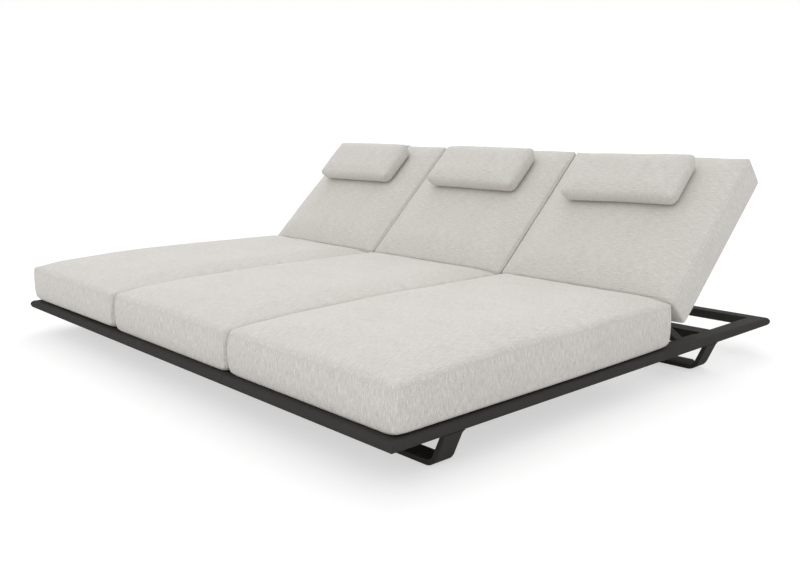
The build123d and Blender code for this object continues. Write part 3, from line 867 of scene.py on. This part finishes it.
backValues = {
    "height": 0.136, "floor": 0.0312, "start": 0.0870, "length": 0.6930,
    "extraLength": {"left": 0.012, "middle": 0.008, "right": 0.0},
    "crown": 0.031, "slopeLength": 0.110, "slopeWidth": 0.105,
    "endSag": (0.0, 0.0), "drawIn": (0.0, 0.0), "sideBulge": 0.004, "endBulge": 0.002,
    "topRadius": 0.014, "lowRadius": 0.010, "uprightRadius": 0.008,
    "tipSharpness": (0.3, 0.7), "mouth": (0.004, 0.004),
    "edgeGroove": 0.0030, "uprightGroove": 0.0014,
    "endLift": 0.002, "sideLift": 0.002, "cornerLift": 0.002,
    "frontLift": 0.0, "leftRise": 0.0, "skew": 0.006,
    "roundSteps": 4, "spacing": (0.0140, 0.0140, 0.0150), "slubAcross": True, "mapShift": 10.0,
    "pressure": 4.0, "cap": 0.005, "seamHold": 0.9, "fill": 0.75, "stitchLevel": 4,
}

headrestValues = {
    "depth": 0.224, "height": 0.070, "floor": 0.2010, "start": 0.4725,
    "crown": 0.016, "slopeLength": 0.060, "slopeWidth": 0.080,
    "endSag": (0.0, 0.0), "drawIn": (0.003, 0.003), "sideBulge": 0.003, "endBulge": 0.004,
    "topRadius": 0.015, "lowRadius": 0.031, "uprightRadius": 0.032,
    "tipSharpness": (0.0, 0.0), "mouth": (0.0, 0.0),
    "edgeGroove": 0.0006, "uprightGroove": 0.0,
    "endLift": 0.002, "sideLift": 0.002, "cornerLift": 0.0,
    "frontLift": 0.0, "leftRise": 0.0, "skew": 0.0,
    "roundSteps": 5, "spacing": (0.0085, 0.0080, 0.0060), "slubAcross": True, "mapShift": 10.0,
    "pressure": 5.0, "cap": 0.004, "seamHold": 0.5, "fill": 0.65, "stitchLevel": None,
}

# Where each loose headrest lies: moved sideways and up the back, turned in degrees, and its width
headrestPlaces = {
    "left": {"move": (-0.016, 0.008), "turn": 0.3, "width": 0.520},
    "middle": {"move": (0.0, 0.010), "turn": 0.0, "width": 0.520},
    "right": {"move": (-0.012, -0.004), "turn": 2.0, "width": 0.506},
}

backHinge = {"y": 0.335, "z": 0.130, "angle": 44.0}

seedStarts = {"seat": 1, "back": 11, "headrest": 21}
seedSteps = (1.37, 2.11, 0.73)

settleValues = {
    "rayHeight": 0.2,
    "gap": 0.0005,
    "parts": (0.55, 0.45),      # of the drop: by the whole pad, and more of it lower down
}


def moduleSides(name, kind):
    place = moduleNames.index(name) - 1
    low = (place - 0.5) * moduleWidth + cushionGaps[kind]
    high = (place + 0.5) * moduleWidth - cushionGaps[kind]
    return (-outerFlanks[kind] if place == -1 else low), (outerFlanks[kind] if place == 1 else high)


def sideRooms(name):
    return tuple(outerRoom if name == outer else 0.0 for outer in ("left", "right"))


def backTurn(x, start, floor):
    # From a pad's own axes to its place on the raised back
    hinge = Matrix.Translation((x, backHinge["y"], backHinge["z"]))
    tilt = Matrix.Rotation(radians(backHinge["angle"]), 4, "X")
    return hinge @ tilt @ Matrix.Translation((0, start, floor))


def surfaceTree(mesh, turn=None):
    places = [vertex.co if turn is None else turn @ vertex.co for vertex in mesh.vertices]
    return BVHTree.FromPolygons(places, [list(face.vertices) for face in mesh.polygons])


def settled(places, height, turn, below):
    # Lowers a pad onto the piece below it, so that its underside follows that piece
    tree = surfaceTree(below.data)
    down = (turn.to_3x3() @ Vector((0, 0, -1))).normalized()
    rayHeight = settleValues["rayHeight"]
    whole, lower = settleValues["parts"]
    result = []
    for place in places:
        origin = turn @ Vector((place.x, place.y, rayHeight))
        distance = tree.ray_cast(origin, down)[3]
        drop = 0.0 if distance is None else distance - rayHeight - settleValues["gap"]
        share = min(1.0, fade(place.z, height))
        result.append(place + Vector((0, 0, -drop * (whole + lower * share))))
    return result


def makePad(name, values, turn, node, body, seedNumber, below=None):
    values = dict(values, seed=Vector([seedNumber * step for step in seedSteps]))
    keys, lattice, faces, maps, last = latticeShell(values)
    places = shapedPlaces(keys, lattice, last, values)
    places = swelled(name, places, faces, seamHold(keys, last, values), values)
    places = keptBeside(places, values)
    if below:
        places = settled(places, values["size"][2], turn, below)
    piece = finishedPad(name, places, faces, maps, turn)
    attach(piece, body)
    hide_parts(node)
    if values["stitchLevel"]:
        path = ringPath(keys, places, last, last[2] - values["stitchLevel"])
        makeStitches(name + "Stitches", path, turn, body)
    return piece


def makeSeat(name, seedNumber):
    low, high = moduleSides(name, "seat")
    values = dict(seatValues, sideRoom=sideRooms(name))
    if name == "left":
        values.update(leftSeatValues)
    start, end = values["yRange"]
    values["size"] = (high - low, end - start, values["height"])
    turn = Matrix.Translation((low, start, values["floor"]))
    makePad("seatCushion_" + name, values, turn, "seat_cushion_" + name, "frame", seedNumber)


def makeBack(name, seedNumber):
    low, high = moduleSides(name, "back")
    length = backValues["length"] + backValues["extraLength"][name]
    size = (high - low, length, backValues["height"])
    values = dict(backValues, size=size, sideRoom=sideRooms(name))
    turn = backTurn(low, values["start"], values["floor"])
    body = name + "_back_cushion"
    return makePad("backCushion_" + name, values, turn, "back_cushion_" + name, body, seedNumber)


def makeHeadrest(name, seedNumber, below):
    low, high = moduleSides(name, "back")
    lie = headrestPlaces[name]
    size = (lie["width"], headrestValues["depth"], headrestValues["height"])
    values = dict(headrestValues, size=size, sideRoom=(outerRoom, outerRoom))
    centre = Vector((size[0] / 2, size[1] / 2, 0))
    start = values["start"] + lie["move"][1]
    turn = backTurn((low + high) / 2 + lie["move"][0] - centre.x, start, values["floor"])
    twist = Matrix.Rotation(radians(lie["turn"]), 4, "Z")
    turn = turn @ Matrix.Translation(centre) @ twist @ Matrix.Translation(-centre)
    body = name + "_headrest"
    makePad("headrestPad_" + name, values, turn, "headrest_" + name, body, seedNumber, below)


backPieces = {}
for count, name in enumerate(moduleNames):
    makeSeat(name, seedStarts["seat"] + count)
    backPieces[name] = makeBack(name, seedStarts["back"] + count)
    makeHeadrest(name, seedStarts["headrest"] + count, backPieces[name])
print("cushions and headrests ready")


# Flaps of the headrests, over the top edges of the back cushions

flapValues = {
    "width": 0.250,
    "thickness": 0.0022,
    "lift": 0.0016,
    "start": 0.680,        # along the back, under the upper edge of the headrest
    "edge": 0.7795,
    "drop": 0.095,
    "step": 0.006,
    "cornerSteps": 12,
    "cornerInset": (0.04, 0.03),        # the turn's centre, in from the edge and down from the face
    "floor": 0.030,
    "ripple": {"along": 11, "across": 14, "seed": 4.0, "depth": 0.0007},
    "rayStarts": {"face": 0.35, "corner": 0.3, "end": 1.0},
    "mapStart": 7.9,
    "blendHeight": 0.19,
    "blendInset": (0.02, 0.01),         # from the start and from the edge
}


def flapAims(values):
    # Sweeps the aim from straight down onto the face, round the corner, to straight in at the end
    inset, down = values["cornerInset"]
    step = values["step"]
    starts = values["rayStarts"]
    corner = Vector((0, values["edge"] - inset, values["floor"] + backValues["height"] - down))
    aims = []
    for count in range(round((corner.y - values["start"]) / step)):
        place = Vector((0, values["start"] + count * step, starts["face"]))
        aims.append((place, Vector((0, 0, -1))))
    for count in range(values["cornerSteps"] + 1):
        angle = radians(90 - 90 * count / values["cornerSteps"])
        outward = Vector((0, cos(angle), sin(angle)))
        aims.append((corner + outward * starts["corner"], -outward))
    for count in range(1, round((values["drop"] - down) / step) + 1):
        place = Vector((0, starts["end"], corner.z - count * step))
        aims.append((place, Vector((0, -1, 0))))
    return aims


def makeFlap(name, back, values):
    middle = sum(moduleSides(name, "back")) / 2
    turn = backTurn(0, 0, 0)
    tree = surfaceTree(back.data, turn.inverted())
    columns = round(values["width"] / values["step"])
    aims = flapAims(values)
    ripple = values["ripple"]
    places = []
    for origin, aim in aims:
        for column in range(columns + 1):
            x = middle - values["width"] / 2 + values["width"] * column / columns
            hit = tree.ray_cast(origin + Vector((x, 0, 0)), aim)[0]
            spot = (x * ripple["across"], origin.y * ripple["along"], ripple["seed"] + middle)
            wave = noise.noise(Vector(spot)) * ripple["depth"] + ripple["depth"]
            places.append(hit - aim * (values["lift"] + wave))
    across = columns + 1
    faces = []
    for row in range(len(aims) - 1):
        for column in range(columns):
            here = row * across + column
            faces.append([here, here + 1, here + across + 1, here + across])
    thing = newMeshObject("headrestFlap_" + name, [turn @ place for place in places], faces)
    mesh = thing.data
    layer = mesh.uv_layers.new(name="panelMap")
    for loop in mesh.loops:
        row, column = divmod(loop.vertex_index, across)
        place = (values["mapStart"] + row * values["step"], column * values["step"])
        layer.data[loop.index].uv = place
    dressMesh(mesh, "cushionFabric")
    thicken = thing.modifiers.new("thicken", "SOLIDIFY")
    thicken.thickness = values["thickness"]
    thicken.offset = 1.0
    soften = thing.modifiers.new("soften", "SUBSURF")
    soften.levels = 1
    soften.render_levels = 1
    done = bpy.data.meshes.new_from_object(evaluatedObject(thing))
    thing.modifiers.clear()
    thing.data = done
    mid = [places[row * across + columns // 2] for row in range(len(aims))]
    length = sum((second - first).length for first, second in zip(mid, mid[1:]))
    print("flap", name, "length", round(length, 4), "m")
    return thing, turn, length


for name in moduleNames:
    flap, turn, length = makeFlap(name, backPieces[name], flapValues)
    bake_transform(flap)
    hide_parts("headrest_flap_" + name)
print("flaps ready")
